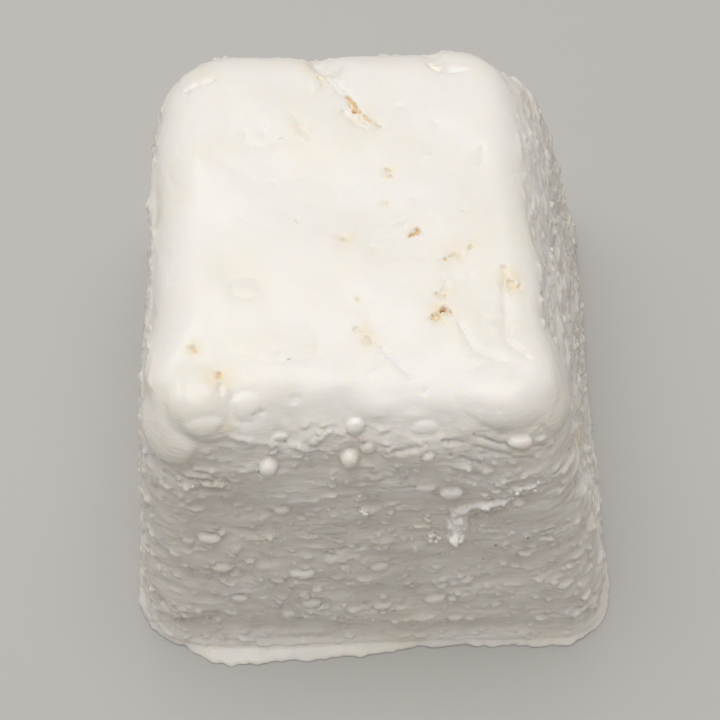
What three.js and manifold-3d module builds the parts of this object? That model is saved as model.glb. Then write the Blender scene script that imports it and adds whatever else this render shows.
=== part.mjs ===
// Feta block: a pressed block of white brined cheese, one solid, standing on its foot.
// Millimetres, +Z up, the front wall towards -Y, the foot on z = 0, the box's middle on the origin.
// The walls lean inwards and are rounded at the corners, and they carry wrinkles, the curd knobs that
// a perforated mould leaves, a scraped scar and a thin squeezed lip at the foot. Curd openings and
// a crack run across the top.
import * as THREE from "three";
import { ImprovedNoise } from "three/addons/math/ImprovedNoise.js";
import { mergeVertices } from "three/addons/utils/BufferGeometryUtils.js";
import Module from "manifold-3d";

// Driving dimensions of the plain block
const BASE_WIDTH = 100;
const BASE_DEPTH = 112;
const HEIGHT = 76;
const TOP_EDGE = 9;
// The body is made this much deeper than the foot, and the foot is then cut flat
const SPARE_DEPTH = 4;

// How far each wall leans inwards for every millimetre of height
const LEAN = { left: 0.1, right: 0.25, front: 0.2, back: 0.166 };
// The back wall stands a little askew: how far it steps back for every millimetre to the right
const BACK_SKEW = 0.035;

// Radius of each upright corner, at the foot and at the top
const CORNERS = {
  frontLeft: [12, 12],
  frontRight: [11, 10],
  backLeft: [12, 15],
  backRight: [13, 12],
};

// Shoulder between the top and the right wall: where it meets the top, how far that line steps to the
// right for every millimetre to the back, the steepness of its normal, and how softly it joins the wall
const SHOULDER_PLACE = 26.4;
const SHOULDER_SKEW = -0.075;
const SHOULDER_NORMAL = THREE.MathUtils.degToRad(38);
const SHOULDER_BLEND = 4;
// The edge above the shoulder is sharper, and takes over along x between these places
const SHOULDER_EDGE = 3;
const SHOULDER_EDGE_X = [8, 24];
// So is the edge over the left front corner, which takes over along x and along y
const CORNER_EDGE = 4;
const CORNER_EDGE_X = [-24, -38];
const CORNER_EDGE_Y = [-20, -34];

// Where the middle of the walls stands: the lip reaches further at the front than at the back
const MIDDLE_X = 0;
const MIDDLE_Y = 1.6;

// Cells of the surface along x, y and z
const CELLS = [24, 27, 26];

// Slow unevenness of the whole surface: the length and the rise of each wave
const SWELL_WAVES = [
  [71, 0.3],
  [47, 0.25],
  [33, 0.2],
  [22, 0.12],
];
const SWELL_CLIMB = 0.6;
const GOLDEN_ANGLE = Math.PI * (3 - Math.sqrt(5));

// Wrinkles that run round the walls: their length, their height and how far they rise
const WRINKLE_LENGTH = 24;
const WRINKLE_HEIGHT = 6.5;
const WRINKLE_RISE = 1.3;
const WRINKLE_DRIFT = 2;

// The unevenness starts above the foot over this height
const CALM_FOOT = 5;
// Steepness of the surface, as its normal's rise, over which the walls' wrinkles fade into the top
const WRINKLE_FADE = [0.3, 0.9];

// Lumpy rim between the front wall and the top
const RIM_LUMP_LENGTH = 9;
const RIM_LUMP_HEIGHT = 5;
const RIM_LUMP_RISE = 1.6;

// Lip squeezed out at the foot: its edge, its thickness at the wall, how deep it is rooted in the
// wall, its least reach, and the length and share of its wander
const LIP_EDGE = 0.5;
const LIP_THICKNESS = 1.5;
const LIP_ROOT = 0.8;
const LIP_LEAST = 0.3;
const LIP_WANDER_LENGTH = 9;
const LIP_WANDER = 0.2;
const LIP_STEPS = 72;
// The front lip takes over from the plain one ahead of this line
const FRONT_LIP_START = -28;

// Reach of the lip in front of the front wall: place across the wall, reach
const FRONT_LIP = [
  [-46, 0.3],
  [-39, 0.7],
  [-34, 3.9],
  [-30, 4.7],
  [-21, 3.9],
  [-6, 2.9],
  [1, 2.2],
  [9, 0.3],
  [20, 0],
  [30, 0.9],
  [38, 1.1],
  [46, 0.3],
];

// Knobs on the front wall: x, z, width, height, how far it stands out
const FRONT_KNOBS = [
  [-20.9, 61, 3.1, 3.1, 1.4],
  [-6.3, 63.5, 3, 3, 1.4],
  [-3.1, 66.3, 2.2, 2, 0.7],
  [8, 63.8, 2.8, 2.2, 0.8],
  [24.3, 65.6, 4.2, 2.4, 0.9],
  [12.6, 52.9, 4.2, 2.8, 1],
  [7.6, 56.1, 2.4, 1.8, 0.5],
  [-18.8, 47.8, 3, 1.8, 0.6],
  [-33, 38.5, 4.6, 2.2, 0.9],
  [-30.9, 28.7, 4, 2.4, 0.9],
  [-15, 26.7, 4.8, 2.4, 1],
  [0, 28.5, 3.6, 2, 0.6],
  [-13.5, 15.9, 3.6, 2.2, 0.8],
  [-27.8, 18, 3, 1.8, 0.6],
  [28.5, 33.8, 2.4, 1.4, 0.5],
  [17.3, 24.3, 3, 1.8, 0.7],
  [12.8, 22.6, 2.2, 1.6, 0.5],
  [12.3, 16.1, 4.4, 2.6, 0.8],
  [1, 15.6, 4, 1.8, 0.7],
];

// Streaks on the front wall: from x, z, to x, z, width, rise, or depth where it is less than zero
const FRONT_STREAKS = [
  [13, 42.4, 24, 49.2, 4, -1.3],
  [21.5, 49.6, 29, 53, 2.8, -1],
  [12.2, 45.8, 21.8, 50.6, 1.6, 0.9],
  [21.6, 53, 29.2, 55.2, 1.4, 0.7],
  [12.8, 40.4, 15.6, 40, 2.4, 1.2],
  [-10.5, 34.2, 1, 38, 1.2, -0.7],
  [9.6, 59.8, 15.6, 59.2, 2.6, -0.9],
  [-37.6, 59.4, -28.5, 57.6, 1.6, -0.9],
  [-45.4, 8.6, -34.4, 12, 2, 0.9],
  [-44.6, 6.2, -33.6, 9.6, 1.2, -0.8],
  [-5.4, 49.5, -1.2, 49.3, 1.2, 0.5],
];

// Openings and cracks in the top: from x, y, to x, y, width, depth
const TOP_OPENINGS = [
  [-12.3, 34.7, -9, 30.4, 1.1, 1.4],
  [-6.6, 28.8, -2.7, 24.6, 1.8, 3.6],
  [-3, 24.5, 0.8, 21.3, 1.3, 2.6],
  [-6.6, 25.8, -0.8, 19.8, 1, 0.8],
  [1.6, 12.7, 2.5, 9.2, 1.6, 1.8],
  [0.5, 3.9, 2.2, 3.4, 1.2, 1.5],
  [-7.4, -3.8, -5.5, -4.7, 1.5, 1.7],
  [4.8, -4.3, 8.4, -2, 2, 3.2],
  [3.9, -0.3, 4.3, -1.7, 0.8, 1],
  [12.1, -9.2, 14.1, -6.7, 1.6, 1.8],
  [15.8, -5.8, 17.2, -6.9, 1.4, 1.5],
  [22.4, -10.5, 24.3, -15.6, 1.2, 1.6],
  [23.8, -15.5, 26.2, -15, 1.3, 1.3],
  [8.2, -21.7, 13.1, -19.9, 2.2, 3.4],
  [-4.9, -23.8, -1.8, -27, 1.5, 0.9],
  [-34.4, -26.2, -33.6, -29, 1.4, 1.8],
  [-29.7, -31.2, -29.2, -37.6, 1.3, 1.8],
];

// Rounded lobes of the rim: the place of the middle, the reach along x, y and z, the rise
const RIM_LOBES = [
  [-39.8, -38.6, 68, 6.6, 7.8, 6.6, 2.4],
  [-33, -36.8, 74, 5.8, 6.6, 5.6, 0.7],
  [29.4, -31.5, 71.6, 7.4, 9, 8.6, 0.9],
  [22.6, -37, 75, 9.5, 6, 5, 0.4],
];

// Knobs on the rim: the place on the surface, width, length, how far it stands out
const RIM_KNOBS = [
  [-24.8, -38, 73.9, 4.6, 4.4, 1.5],
  [-5.3, -41.1, 70.7, 3, 2.8, 1.1],
];

// Gaps in the rim between the top and the back wall: the place, width, depth, and their length
const NOTCH_LENGTH = 10;
const BACK_NOTCHES = [
  [-10.6, 39.6, 75, 5.4, 2.6],
  [12, 40, 74.6, 4, 1.1],
];

// Knobs scattered on the other three walls: how many on each, the seed of their draw, the band of
// wall that they keep to, and the least and greatest width, height and rise
const SCATTERED_KNOBS = 6;
const SCATTER_SEED = 20;
const SCATTER_ACROSS = [-32, 32];
const SCATTER_UP = [10, 64];
const SCATTER_WIDTH = [2.6, 4.4];
const SCATTER_HEIGHT = [1.8, 2.7];
const SCATTER_RISE = [0.6, 1.1];

// Knobs and openings come from a ball of this many halvings of an eight-sided one
const BALL_DETAIL = 1;
const MERGE_DISTANCE = 1e-3;
const MARCH_STEPS = 40;
const SETTLE_STEPS = 5;
const PROBE = 0.05;

// A surface whose normal rises more steeply than this is taken as level, so its own up runs along +Y
const LEVEL_NORMAL = 0.7;

const wasm = await Module();
wasm.setup();
const noise = new ImprovedNoise();

// Distances to two surfaces joined into one with a rounded edge between them
function roundedJoin(a, b, radius) {
  const corner = Math.hypot(Math.max(a + radius, 0), Math.max(b + radius, 0));
  return Math.min(-radius, Math.max(a, b)) + corner;
}

// The block's cross-section at a height: where its four walls stand
function sectionAt(z) {
  const level = THREE.MathUtils.clamp(z, 0, HEIGHT);
  return {
    left: -BASE_WIDTH / 2 + LEAN.left * level,
    right: BASE_WIDTH / 2 - LEAN.right * level,
    front: -BASE_DEPTH / 2 + LEAN.front * level,
    back: BASE_DEPTH / 2 - LEAN.back * level,
  };
}

// Radius of the upright corner that is nearest to a point
function cornerRadius(x, y, z) {
  const left = x < 0;
  const front = left ? CORNERS.frontLeft : CORNERS.frontRight;
  const back = left ? CORNERS.backLeft : CORNERS.backRight;
  const [atFoot, atTop] = y < 0 ? front : back;
  return THREE.MathUtils.lerp(atFoot, atTop, THREE.MathUtils.clamp(z / HEIGHT, 0, 1));
}

// Distance of a point from the shoulder above the right wall, less than zero inside
function shoulderDistance(x, y, z) {
  const edge = SHOULDER_PLACE + SHOULDER_SKEW * y;
  return (x - edge) * Math.cos(SHOULDER_NORMAL) + (z - HEIGHT) * Math.sin(SHOULDER_NORMAL);
}

// Share from 0 to 1 that grows softly between two places, whichever of them is the greater
function share(place, [none, all]) {
  return THREE.MathUtils.smoothstep((place - none) / (all - none), 0, 1);
}

// Radius of the edge round the top
function edgeRadius(x, y) {
  const onShoulder = share(x, SHOULDER_EDGE_X);
  const onCorner = share(x, CORNER_EDGE_X) * share(y, CORNER_EDGE_Y);
  const radius = THREE.MathUtils.lerp(TOP_EDGE, SHOULDER_EDGE, onShoulder);
  return THREE.MathUtils.lerp(radius, CORNER_EDGE, onCorner);
}

// Distance of a point from the walls, less than zero inside
function wallDistance(x, y, z) {
  const s = sectionAt(z);
  const right = roundedJoin(x - s.right, shoulderDistance(x, y, z), SHOULDER_BLEND);
  const across = Math.max(s.left - x, right);
  const along = Math.max(s.front - y, y - s.back - BACK_SKEW * x);
  return roundedJoin(across, along, cornerRadius(x, y, z));
}

// Distance of a point from the plain block's surface, less than zero inside
function blockDistance(x, y, z) {
  const open = roundedJoin(wallDistance(x, y, z), z - HEIGHT, edgeRadius(x, y));
  return Math.max(open, -SPARE_DEPTH - z);
}

// Direction in which the distance from the block grows fastest: the surface's outward normal
function outward(p) {
  return new THREE.Vector3(
    blockDistance(p.x + PROBE, p.y, p.z) - blockDistance(p.x - PROBE, p.y, p.z),
    blockDistance(p.x, p.y + PROBE, p.z) - blockDistance(p.x, p.y - PROBE, p.z),
    blockDistance(p.x, p.y, p.z + PROBE) - blockDistance(p.x, p.y, p.z - PROBE),
  ).normalize();
}

// The surface point that lies nearest to a point
function nearestOnBlock(start) {
  const p = start.clone();
  for (let step = 0; step < SETTLE_STEPS; step += 1) {
    p.addScaledVector(outward(p), -blockDistance(p.x, p.y, p.z));
  }
  return p;
}

// The surface point met when marching from a start in a direction
function marchToBlock(start, direction) {
  const p = start.clone();
  for (let step = 0; step < MARCH_STEPS; step += 1) {
    p.addScaledVector(direction, blockDistance(p.x, p.y, p.z));
  }
  return p;
}

// Slow unevenness at a point: waves that run in directions a golden angle apart
function swell(p) {
  return SWELL_WAVES.reduce((sum, [length, rise], i) => {
    const turn = i * GOLDEN_ANGLE;
    const way = p.x * Math.cos(turn) + p.y * Math.sin(turn) + SWELL_CLIMB * p.z;
    return sum + rise * Math.cos((2 * Math.PI * way) / length + i);
  }, 0);
}

// Wrinkles on the walls: long level ridges and folds that waver, come and go
function wrinkle(p) {
  const x = p.x / WRINKLE_LENGTH;
  const y = p.y / WRINKLE_LENGTH;
  const drift = WRINKLE_DRIFT * noise.noise(x, y, p.z / WRINKLE_LENGTH);
  return WRINKLE_RISE * noise.noise(x, y, p.z / WRINKLE_HEIGHT + drift);
}

// Lumps along the front rim, strongest where the wall turns into the top
function rimLumps(p) {
  const down = (p.z - (HEIGHT - TOP_EDGE / 2)) / TOP_EDGE;
  const ahead = (p.y - (sectionAt(p.z).front + TOP_EDGE / 3)) / TOP_EDGE;
  const near = Math.exp(-(down * down) - ahead * ahead);
  const lump = noise.noise(p.x / RIM_LUMP_LENGTH, p.y / RIM_LUMP_LENGTH, p.z / RIM_LUMP_HEIGHT);
  return RIM_LUMP_RISE * near * lump;
}

// Rise of the rim's rounded lobes at a point
function lobes(p) {
  return RIM_LOBES.reduce((most, [x, y, z, reachX, reachY, reachZ, rise]) => {
    const away = Math.hypot((p.x - x) / reachX, (p.y - y) / reachY, (p.z - z) / reachZ);
    return Math.max(most, rise * Math.sqrt(Math.max(0, 1 - away * away)));
  }, 0);
}

// How far the real surface stands out of the plain block at a point with that normal
function relief(p, normal) {
  const offFoot = THREE.MathUtils.smoothstep(p.z, 0, CALM_FOOT);
  const wallShare = 1 - THREE.MathUtils.smoothstep(normal.z, ...WRINKLE_FADE);
  return offFoot * (swell(p) + wallShare * wrinkle(p) + rimLumps(p)) + lobes(p);
}

// A point of the plain block's surface moved onto the uneven one
function settled(seat) {
  const normal = outward(seat);
  return seat.addScaledVector(normal, relief(seat, normal));
}

const onTop = (x, y) =>
  settled(marchToBlock(new THREE.Vector3(x, y, 2 * HEIGHT), new THREE.Vector3(0, 0, -1)));
const onFront = (x, z) =>
  settled(marchToBlock(new THREE.Vector3(x, -BASE_DEPTH, z), new THREE.Vector3(0, 1, 0)));
const onNearest = (x, y, z) => settled(nearestOnBlock(new THREE.Vector3(x, y, z)));

// A copy of a geometry with its shared vertices merged
function mergedCopy(geometry) {
  const bare = geometry.clone();
  bare.deleteAttribute("normal");
  bare.deleteAttribute("uv");
  return mergeVertices(bare, MERGE_DISTANCE);
}

// A geometry's closed body as a solid
function solidOf(geometry) {
  const merged = mergedCopy(geometry);
  return new wasm.Manifold(
    new wasm.Mesh({
      numProp: 3,
      vertProperties: merged.attributes.position.array,
      triVerts: new Uint32Array(merged.index.array),
    }),
  );
}

// Moves every vertex of a geometry by a function of its place
function reshape(geometry, move) {
  const position = geometry.attributes.position;
  const p = new THREE.Vector3();
  for (let i = 0; i < position.count; i += 1) {
    p.fromBufferAttribute(position, i);
    const moved = move(p);
    position.setXYZ(i, moved.x, moved.y, moved.z);
  }
  return geometry;
}

// The block's uneven body: a box of cells drawn onto the leaning, rounded form
function makeBody() {
  const box = mergedCopy(new THREE.BoxGeometry(1, 1, 1, ...CELLS));
  return reshape(box, (p) => {
    const z = THREE.MathUtils.lerp(-SPARE_DEPTH, HEIGHT, p.z + 0.5);
    const s = sectionAt(z);
    const x = THREE.MathUtils.lerp(s.left, s.right, p.x + 0.5);
    const y = THREE.MathUtils.lerp(s.front, s.back, p.y + 0.5);
    return onNearest(x, y, z);
  });
}

// Reach of the lip beyond the foot at a point of the foot's outline
function lipReach(x, y) {
  const wander = 1 + noise.noise(x / LIP_WANDER_LENGTH, y / LIP_WANDER_LENGTH, 0);
  const next = FRONT_LIP.findIndex(([place]) => place > x);
  if (y > FRONT_LIP_START || next < 1) {
    return LIP_LEAST * wander;
  }
  const [x0, reach0] = FRONT_LIP[next - 1];
  const [x1, reach1] = FRONT_LIP[next];
  const reach = THREE.MathUtils.lerp(reach0, reach1, (x - x0) / (x1 - x0));
  return reach + LIP_WANDER * wander;
}

// The thin lip round the foot: a turned disc whose rings are drawn onto the foot's outline
function makeLip() {
  const edge = 2;
  const wall = 1;
  const profile = [
    [0, 0],
    [edge, 0],
    [edge, LIP_EDGE],
    [wall, LIP_THICKNESS],
    [0, LIP_THICKNESS],
  ].map(([r, z]) => new THREE.Vector2(r, z));
  const disc = new THREE.LatheGeometry(profile, LIP_STEPS).rotateX(Math.PI / 2);
  return reshape(mergedCopy(disc), (p) => {
    const ring = Math.round(Math.hypot(p.x, p.y));
    if (ring === 0) {
      return p;
    }
    const way = new THREE.Vector3(p.x, p.y, 0).normalize();
    const rim = way.clone().multiplyScalar(BASE_DEPTH);
    for (let step = 0; step < MARCH_STEPS; step += 1) {
      rim.addScaledVector(way, -wallDistance(rim.x, rim.y, 0));
    }
    const reach = ring === edge ? lipReach(rim.x, rim.y) : -LIP_ROOT;
    const normal = new THREE.Vector3(outward(rim).x, outward(rim).y, 0).normalize();
    rim.addScaledVector(normal, reach);
    return new THREE.Vector3(rim.x, rim.y, p.z);
  });
}

// The surface's own directions at a point: along it, up it and out of it
function surfaceAxes(seat) {
  const out = outward(seat);
  const level = Math.abs(out.z) > LEVEL_NORMAL;
  const reference = level ? new THREE.Vector3(0, 1, 0) : new THREE.Vector3(0, 0, 1);
  const along = reference.cross(out).normalize();
  const up = out.clone().cross(along);
  return { along, up, out };
}

// A ball stretched to three radii and laid on the surface, turned in the surface's own plane
function makeLump(seat, across, upward, out, turn = 0) {
  const axes = surfaceAxes(seat);
  const pose = new THREE.Matrix4().makeBasis(axes.along, axes.up, axes.out).setPosition(seat);
  return new THREE.OctahedronGeometry(1, BALL_DETAIL)
    .scale(across, upward, out)
    .rotateZ(turn)
    .applyMatrix4(pose);
}

// A long lump from one surface point to another
function makeStreak(from, to, width, rise) {
  const seat = from.clone().lerp(to, 0.5);
  const axes = surfaceAxes(seat);
  const way = to.clone().sub(from);
  const turn = Math.atan2(way.dot(axes.up), way.dot(axes.along));
  return makeLump(seat, way.length() / 2, width / 2, Math.abs(rise), turn);
}

// Seeded draw of numbers from zero to one
function drawer(seed) {
  let state = seed;
  return () => {
    state = (state * 16807) % 2147483647;
    return (state - 1) / 2147483646;
  };
}

// Knobs scattered over the left, right and back walls
function scatteredKnobs() {
  const unit = drawer(SCATTER_SEED);
  const draw = ([least, greatest]) => THREE.MathUtils.lerp(least, greatest, unit());
  const starts = [
    [-BASE_WIDTH, 0, 1, 0],
    [BASE_WIDTH, 0, -1, 0],
    [0, BASE_DEPTH, 0, -1],
  ];
  const knobs = [];
  for (const [startX, startY, wayX, wayY] of starts) {
    for (let i = 0; i < SCATTERED_KNOBS; i += 1) {
      const shift = draw(SCATTER_ACROSS);
      const z = draw(SCATTER_UP);
      const start = new THREE.Vector3(startX + wayY * shift, startY + wayX * shift, z);
      const seat = settled(marchToBlock(start, new THREE.Vector3(wayX, wayY, 0)));
      const width = draw(SCATTER_WIDTH);
      const height = draw(SCATTER_HEIGHT);
      knobs.push(makeLump(seat, width / 2, height / 2, draw(SCATTER_RISE)));
    }
  }
  return knobs;
}

// A slab below the foot, which cuts it flat
function makeFloorCut() {
  const size = 2 * BASE_DEPTH;
  return new THREE.BoxGeometry(size, size, size).translate(0, 0, -size / 2);
}

const raised = [
  makeLip(),
  ...FRONT_KNOBS.map(([x, z, width, height, out]) =>
    makeLump(onFront(x, z), width / 2, height / 2, out),
  ),
  ...RIM_KNOBS.map(([x, y, z, width, length, out]) =>
    makeLump(onNearest(x, y, z), width / 2, length / 2, out),
  ),
  ...FRONT_STREAKS.filter((streak) => streak[5] > 0).map(([x0, z0, x1, z1, width, rise]) =>
    makeStreak(onFront(x0, z0), onFront(x1, z1), width, rise),
  ),
  ...scatteredKnobs(),
];

const sunk = [
  makeFloorCut(),
  ...TOP_OPENINGS.map(([x0, y0, x1, y1, width, depth]) =>
    makeStreak(onTop(x0, y0), onTop(x1, y1), width, depth),
  ),
  ...FRONT_STREAKS.filter((streak) => streak[5] < 0).map(([x0, z0, x1, z1, width, rise]) =>
    makeStreak(onFront(x0, z0), onFront(x1, z1), width, rise),
  ),
  ...BACK_NOTCHES.map(([x, y, z, width, depth]) =>
    makeLump(onNearest(x, y, z), width / 2, NOTCH_LENGTH / 2, depth),
  ),
];

// The finished block: the body with its raised relief joined on and its hollows cut out
let block = solidOf(makeBody());
for (const piece of raised) {
  block = block.add(solidOf(piece));
}
for (const piece of sunk) {
  block = block.subtract(solidOf(piece));
}

const mesh = block.getMesh();
const geometry = new THREE.BufferGeometry();
geometry.setAttribute("position", new THREE.BufferAttribute(mesh.vertProperties, 3));
geometry.setIndex(new THREE.BufferAttribute(mesh.triVerts, 1));
geometry.translate(MIDDLE_X, MIDDLE_Y, 0);
geometry.computeVertexNormals();

const feta = new THREE.MeshStandardMaterial({
  color: 0xf3eee2,
  roughness: 0.6,
  metalness: 0,
});

const fetaBlock = new THREE.Mesh(geometry, feta);
fetaBlock.name = "feta_block";

const group = new THREE.Group();
group.add(fetaBlock);

export default group;
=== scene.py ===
"""Feta block: the looks of a pressed block of white brined cheese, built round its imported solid.

The block's form comes from the same named sizes as the solid: leaning walls, rounded corners, a round
rim and a thin lip at the foot. Its surface then gets the relief that a perforated mould, the knife and
the brine leave on fresh cheese, as real geometry, and a moist curd finish. Lengths are in millimetres
until a mesh is finished, and in metres after that.
"""

import functools
import itertools
import logging
import math
from collections.abc import Callable
from dataclasses import dataclass, field
from enum import Enum

import bmesh
import bpy
import numpy as np
from mathutils import Matrix, Vector


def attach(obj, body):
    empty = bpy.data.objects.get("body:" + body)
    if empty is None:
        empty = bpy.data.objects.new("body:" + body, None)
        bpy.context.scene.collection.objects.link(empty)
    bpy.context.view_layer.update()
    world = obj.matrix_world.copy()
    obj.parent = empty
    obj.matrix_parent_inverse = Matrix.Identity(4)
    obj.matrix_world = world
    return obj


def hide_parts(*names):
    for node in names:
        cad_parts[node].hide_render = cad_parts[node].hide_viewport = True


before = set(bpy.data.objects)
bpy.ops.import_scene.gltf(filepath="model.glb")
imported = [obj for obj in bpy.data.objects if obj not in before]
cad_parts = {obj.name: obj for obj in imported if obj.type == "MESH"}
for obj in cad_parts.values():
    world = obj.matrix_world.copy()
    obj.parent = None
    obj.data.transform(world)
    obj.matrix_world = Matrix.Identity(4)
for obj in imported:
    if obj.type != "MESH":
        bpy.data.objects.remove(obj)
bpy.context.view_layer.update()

LOG = logging.getLogger("feta_block")

MM = 0.001
NODE = "feta_block"
BODY = "root"

# The middle of the walls in the part's frame, as in the solid
MIDDLE = np.array([0.0, 1.6, 0.0])
GOLDEN_ANGLE = math.pi * (3 - math.sqrt(5))
# A surface whose normal rises more steeply than this is taken as level, so its own up runs along +Y
LEVEL_NORMAL = 0.7
PROBE = 0.02
# Drops the height of a place or a direction
LEVEL = np.array([1, 1, 0])


def smooth_step(values: np.ndarray, low: float, high: float) -> np.ndarray:
    """A smooth rise from 0 at low to 1 at high; low may be the greater one.

    Args:
        values: the numbers to map.
        low: where the rise starts.
        high: where it ends.

    Returns:
        A number from 0 to 1 for each value.
    """
    share = np.clip((values - low) / (high - low), 0, 1)
    return share * share * (3 - 2 * share)


def rounded_join(a: np.ndarray, b: np.ndarray, radius: np.ndarray | float) -> np.ndarray:
    """Joins the distances to two surfaces into one, with a rounded edge between them.

    Args:
        a: distance to the first surface, less than zero inside.
        b: distance to the second surface.
        radius: radius of the edge.

    Returns:
        The distance to the joined surface.
    """
    corner = np.hypot(np.maximum(a + radius, 0), np.maximum(b + radius, 0))
    return np.minimum(-radius, np.maximum(a, b)) + corner


def unit(vectors: np.ndarray) -> np.ndarray:
    """Vectors scaled to a length of one."""
    return vectors / np.maximum(np.linalg.norm(vectors, axis=-1, keepdims=True), 1e-9)


class CurdNoise:
    """Seeded gradient noise in space, from about -1 to 1."""

    TABLE = 256
    # Brings the noise to about -1 to 1
    GAIN = 1.55

    def __init__(self, seed: int) -> None:
        """Draws the table of directions.

        Args:
            seed: seed of the draw.
        """
        draw = np.random.default_rng(seed)
        order = draw.permutation(self.TABLE)
        self.order = np.concatenate([order, order])
        self.ways = unit(draw.normal(size=(self.TABLE, 3)))

    def at(self, points: np.ndarray, length: float, height: float | None = None) -> np.ndarray:
        """The noise at points.

        Args:
            points: places in mm.
            length: how far one bump reaches along x and y, in mm.
            height: how far it reaches along z, or the same as length if left out.

        Returns:
            One value a point.
        """
        scale = np.array([length, length, height or length])
        place = points / scale
        cell = np.floor(place).astype(np.int64)
        part = place - cell
        fade = part**3 * (part * (part * 6 - 15) + 10)
        cell &= self.TABLE - 1
        total = np.zeros(len(points))
        for corner in itertools.product((0, 1), repeat=3):
            step = np.array(corner)
            column, row, layer = ((cell + step) & (self.TABLE - 1)).T
            way = self.ways[self.order[self.order[self.order[column] + row] + layer]]
            weight = np.where(step == 1, fade, 1 - fade).prod(axis=1)
            total += weight * np.einsum("ij,ij->i", way, part - step)
        return total * self.GAIN

    def billow(self, points: np.ndarray, length: float, height: float | None = None) -> np.ndarray:
        """Rounded pillows from 0 to 1 with sharp creases between them, of a length and a height."""
        return np.abs(self.at(points, length, height))


@dataclass(frozen=True)
class Spot:
    """A place on the block's surface, with the surface's own directions."""

    seat: np.ndarray
    along: np.ndarray
    up: np.ndarray
    out: np.ndarray

    def within(self, points: np.ndarray, reach: float) -> np.ndarray:
        """The numbers of the points that lie within a reach of the spot, in mm."""
        return np.flatnonzero(((points - self.seat) ** 2).sum(axis=1) < reach * reach)

    def local(self, points: np.ndarray, turn: float = 0.0) -> tuple[np.ndarray, np.ndarray, np.ndarray]:
        """Points seen from the spot.

        Args:
            points: places in mm.
            turn: how far the spot's own directions are turned about its outward one, in radians.

        Returns:
            How far each point lies along the surface, up it and out of it.
        """
        away = points - self.seat
        across, climb = away @ self.along, away @ self.up
        cosine, sine = math.cos(turn), math.sin(turn)
        return across * cosine + climb * sine, climb * cosine - across * sine, away @ self.out


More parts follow.
